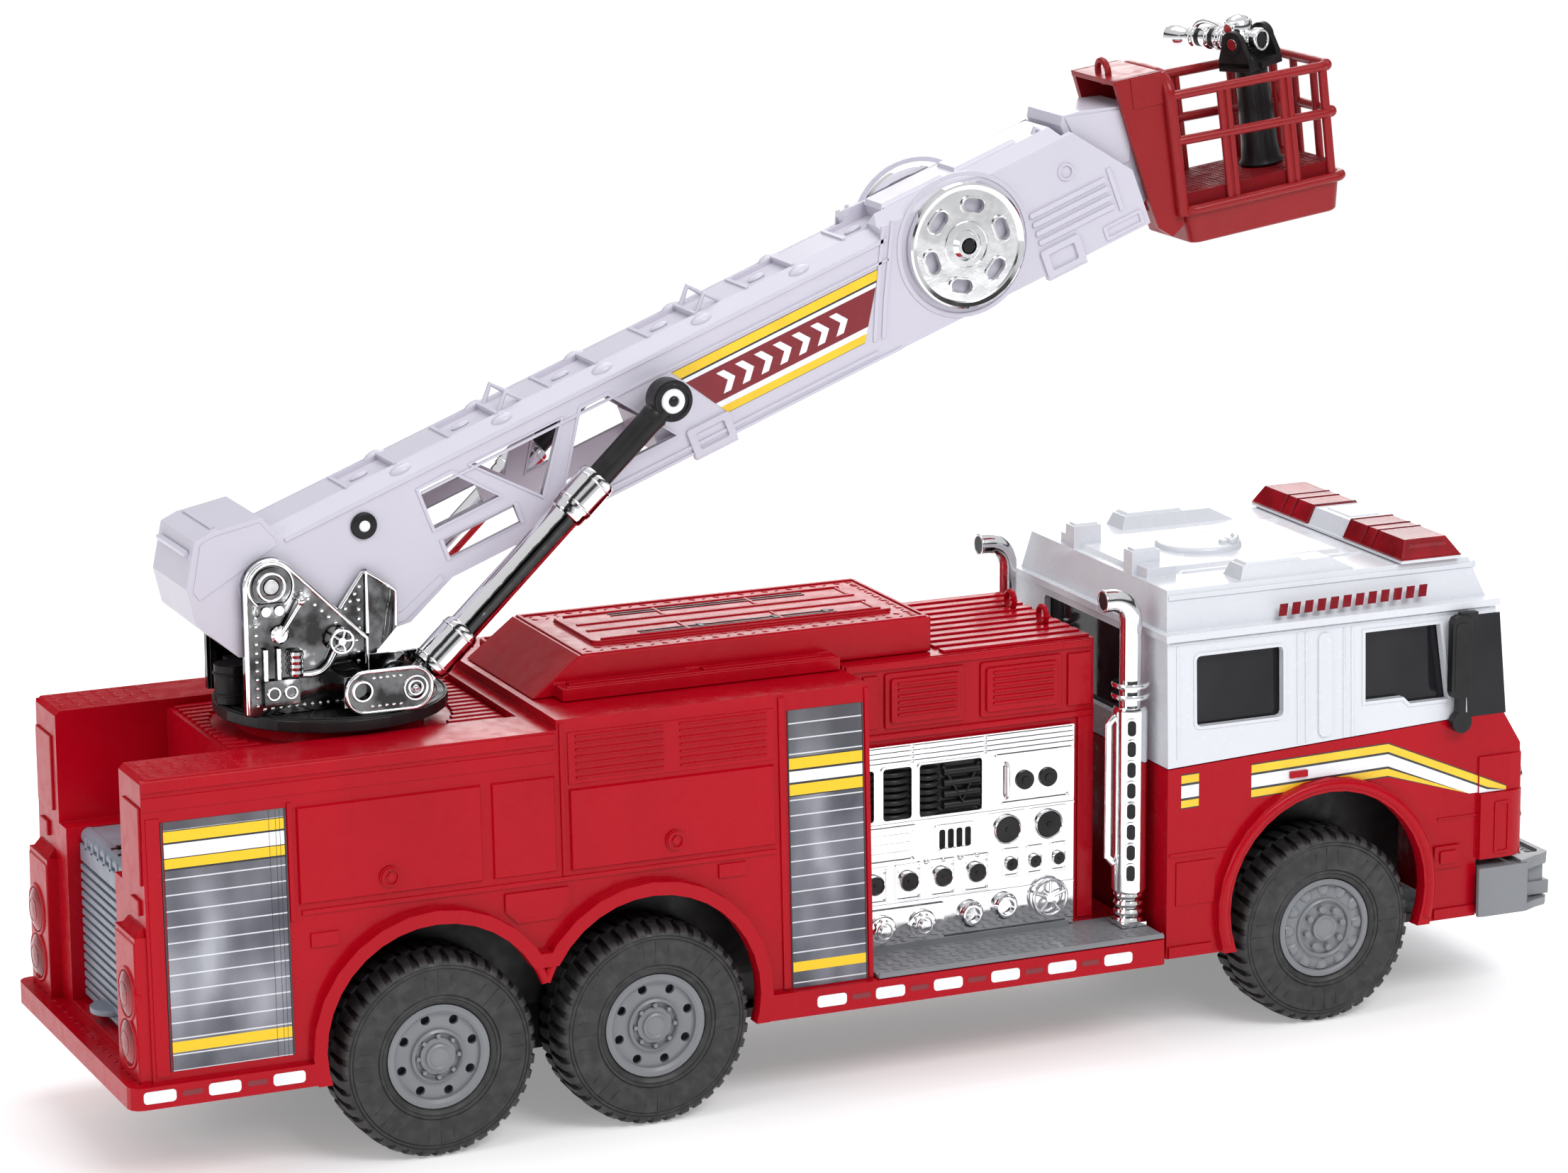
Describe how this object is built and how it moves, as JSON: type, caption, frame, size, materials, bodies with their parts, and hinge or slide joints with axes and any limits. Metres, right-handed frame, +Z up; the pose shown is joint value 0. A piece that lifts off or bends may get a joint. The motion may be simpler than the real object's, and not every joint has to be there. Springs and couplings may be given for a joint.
{
  "type": "toy aerial fire engine",
  "caption": "Toy fire engine with rolling wheels, a slewing turntable, a raising and extending boom on lift cylinders, and a tilting basket with a swivelling water monitor.",
  "frame": {"origin": "on the ground under the middle of the toy's length and width", "axes": "+X forwards over the cab, +Y to the toy's left, +Z up"},
  "size_m": [0.6161, 0.1512, 0.4064],
  "materials": {
    "red_plastic": "glossy injection-moulded plastic",
    "dark_red_plastic": "semi-gloss moulded plastic",
    "white_plastic": "glossy moulded plastic",
    "black_plastic": "satin moulded plastic",
    "grey_plastic": "satin moulded plastic",
    "chromed_plastic": "vacuum-plated chrome on plastic",
    "clear_red_plastic": "translucent tinted plastic",
    "tinted_black_plastic": "glossy opaque plastic",
    "tyre_vinyl": "satin soft vinyl",
    "steel_rod": "plain drawn steel"
  },
  "bodies": {
    "truck": {"battery_box": "black_plastic", "battery_cover": "black_plastic", "cab_lower": "red_plastic", "cab_upper": "white_plastic", "cab_windows": "tinted_black_plastic", "chassis": "black_plastic", "deck_cover": "red_plastic", "exhaust_left": "chromed_plastic", "exhaust_right": "chromed_plastic", "front_bumper": "grey_plastic", "light_bar_base": "white_plastic", "light_lens_left": "clear_red_plastic", "light_lens_right": "clear_red_plastic", "mirror_left": "black_plastic", "mirror_right": "black_plastic", "pump_house": "red_plastic", "pump_panel_left": "chromed_plastic", "pump_panel_right": "chromed_plastic", "rear_body": "red_plastic", "running_board_left": "grey_plastic", "running_board_right": "grey_plastic", "speaker": "black_plastic", "tail_lights_left": "clear_red_plastic", "tail_lights_right": "clear_red_plastic"},
    "rear_axle": {"rear_axle": "steel_rod", "rear_hub_left": "grey_plastic", "rear_hub_right": "grey_plastic", "rear_tyre_left": "tyre_vinyl", "rear_tyre_right": "tyre_vinyl"},
    "middle_axle": {"middle_axle": "steel_rod", "middle_hub_left": "grey_plastic", "middle_hub_right": "grey_plastic", "middle_tyre_left": "tyre_vinyl", "middle_tyre_right": "tyre_vinyl"},
    "front_axle": {"front_axle": "steel_rod", "front_hub_left": "grey_plastic", "front_hub_right": "grey_plastic", "front_tyre_left": "tyre_vinyl", "front_tyre_right": "tyre_vinyl"},
    "shutter": {"rear_shutter": "grey_plastic"},
    "turntable": {"turntable": "black_plastic", "turret_plate_left": "chromed_plastic", "turret_plate_right": "chromed_plastic", "boom_pivot_pin": "steel_rod", "cylinder_base_pin": "steel_rod"},
    "boom": {"boom_shell": "white_plastic", "lift_pin": "steel_rod", "boom_cross_bolt": "black_plastic"},
    "winder": {"winder_shaft": "black_plastic", "winder_wheel_left": "chromed_plastic", "winder_wheel_right": "chromed_plastic"},
    "extension": {"inner_boom": "white_plastic"},
    "cylinder_left": {"cylinder_tube_left": "chromed_plastic"},
    "cylinder_right": {"cylinder_tube_right": "chromed_plastic"},
    "rod_left": {"cylinder_rod_left": "black_plastic"},
    "rod_right": {"cylinder_rod_right": "black_plastic"},
    "basket": {"basket": "dark_red_plastic", "monitor_post": "black_plastic"},
    "yoke": {"monitor_yoke": "black_plastic"},
    "nozzle": {"water_nozzle": "chromed_plastic"}
  },
  "joints": [
    {"name": "rear_axle_spin", "type": "hinge", "parent": "truck", "child": "rear_axle", "pos_m": [-0.1856, 0, 0.04], "axis": [0, 1, 0], "continuous": true},
    {"name": "middle_axle_spin", "type": "hinge", "parent": "truck", "child": "middle_axle", "pos_m": [-0.0966, 0, 0.04], "axis": [0, 1, 0], "continuous": true},
    {"name": "front_axle_spin", "type": "hinge", "parent": "truck", "child": "front_axle", "pos_m": [0.2004, 0, 0.04], "axis": [0, 1, 0], "continuous": true},
    {"name": "shutter_hinge", "type": "hinge", "parent": "truck", "child": "shutter", "pos_m": [-0.289, 0, 0.113], "axis": [0, 1, 0], "range_deg": [0, 85]},
    {"name": "turntable_yaw", "type": "hinge", "parent": "truck", "child": "turntable", "pos_m": [-0.2005, 0, 0.1677], "axis": [0, 0, 1], "continuous": true},
    {"name": "boom_lift", "type": "hinge", "parent": "turntable", "child": "boom", "pos_m": [-0.2317, 0, 0.218], "axis": [0, -1, 0], "range_deg": [-12, 22]},
    {"name": "boom_extend", "type": "slide", "parent": "boom", "child": "extension", "axis": [0.9336, 0, 0.3584], "range_m": [0, 0.09]},
    {"name": "winder_turn", "type": "hinge", "parent": "boom", "child": "winder", "pos_m": [0.06008, 0, 0.32572], "axis": [0, -1, 0], "range_deg": [0, 740]},
    {"name": "cylinder_left_swing", "type": "hinge", "parent": "turntable", "child": "cylinder_left", "pos_m": [-0.18, 0.0335, 0.175], "axis": [0, -1, 0], "range_deg": [-13, 23]},
    {"name": "cylinder_right_swing", "type": "hinge", "parent": "turntable", "child": "cylinder_right", "pos_m": [-0.18, -0.0335, 0.175], "axis": [0, -1, 0], "range_deg": [-13, 23]},
    {"name": "rod_left_slide", "type": "slide", "parent": "cylinder_left", "child": "rod_left", "axis": [0.7273, 0, 0.6863], "range_m": [-0.015, 0.026]},
    {"name": "rod_right_slide", "type": "slide", "parent": "cylinder_right", "child": "rod_right", "axis": [0.7273, 0, 0.6863], "range_m": [-0.015, 0.026]},
    {"name": "basket_tilt", "type": "hinge", "parent": "extension", "child": "basket", "pos_m": [0.14302, 0, 0.34599], "axis": [0, -1, 0], "range_deg": [-15, 20]},
    {"name": "monitor_swivel", "type": "hinge", "parent": "basket", "child": "yoke", "pos_m": [0.19968, 0, 0.38475], "axis": [-0.1392, 0, 0.9903], "range_deg": [-170, 170]},
    {"name": "nozzle_pitch", "type": "hinge", "parent": "yoke", "child": "nozzle", "pos_m": [0.19805, 0, 0.39634], "axis": [0.9182, 0.3746, 0.129], "range_deg": [-8, 20]}
  ],
  "couplings": [
    {"joint": "winder_turn", "follows": "boom_extend", "rad_per_m": 142.86},
    {"joint": "cylinder_left_swing", "follows": "boom_lift", "ratio": 1.01},
    {"joint": "cylinder_right_swing", "follows": "boom_lift", "ratio": 1.01},
    {"joint": "rod_left_slide", "follows": "boom_lift", "m_per_rad": 0.065},
    {"joint": "rod_right_slide", "follows": "boom_lift", "m_per_rad": 0.065}
  ]
}
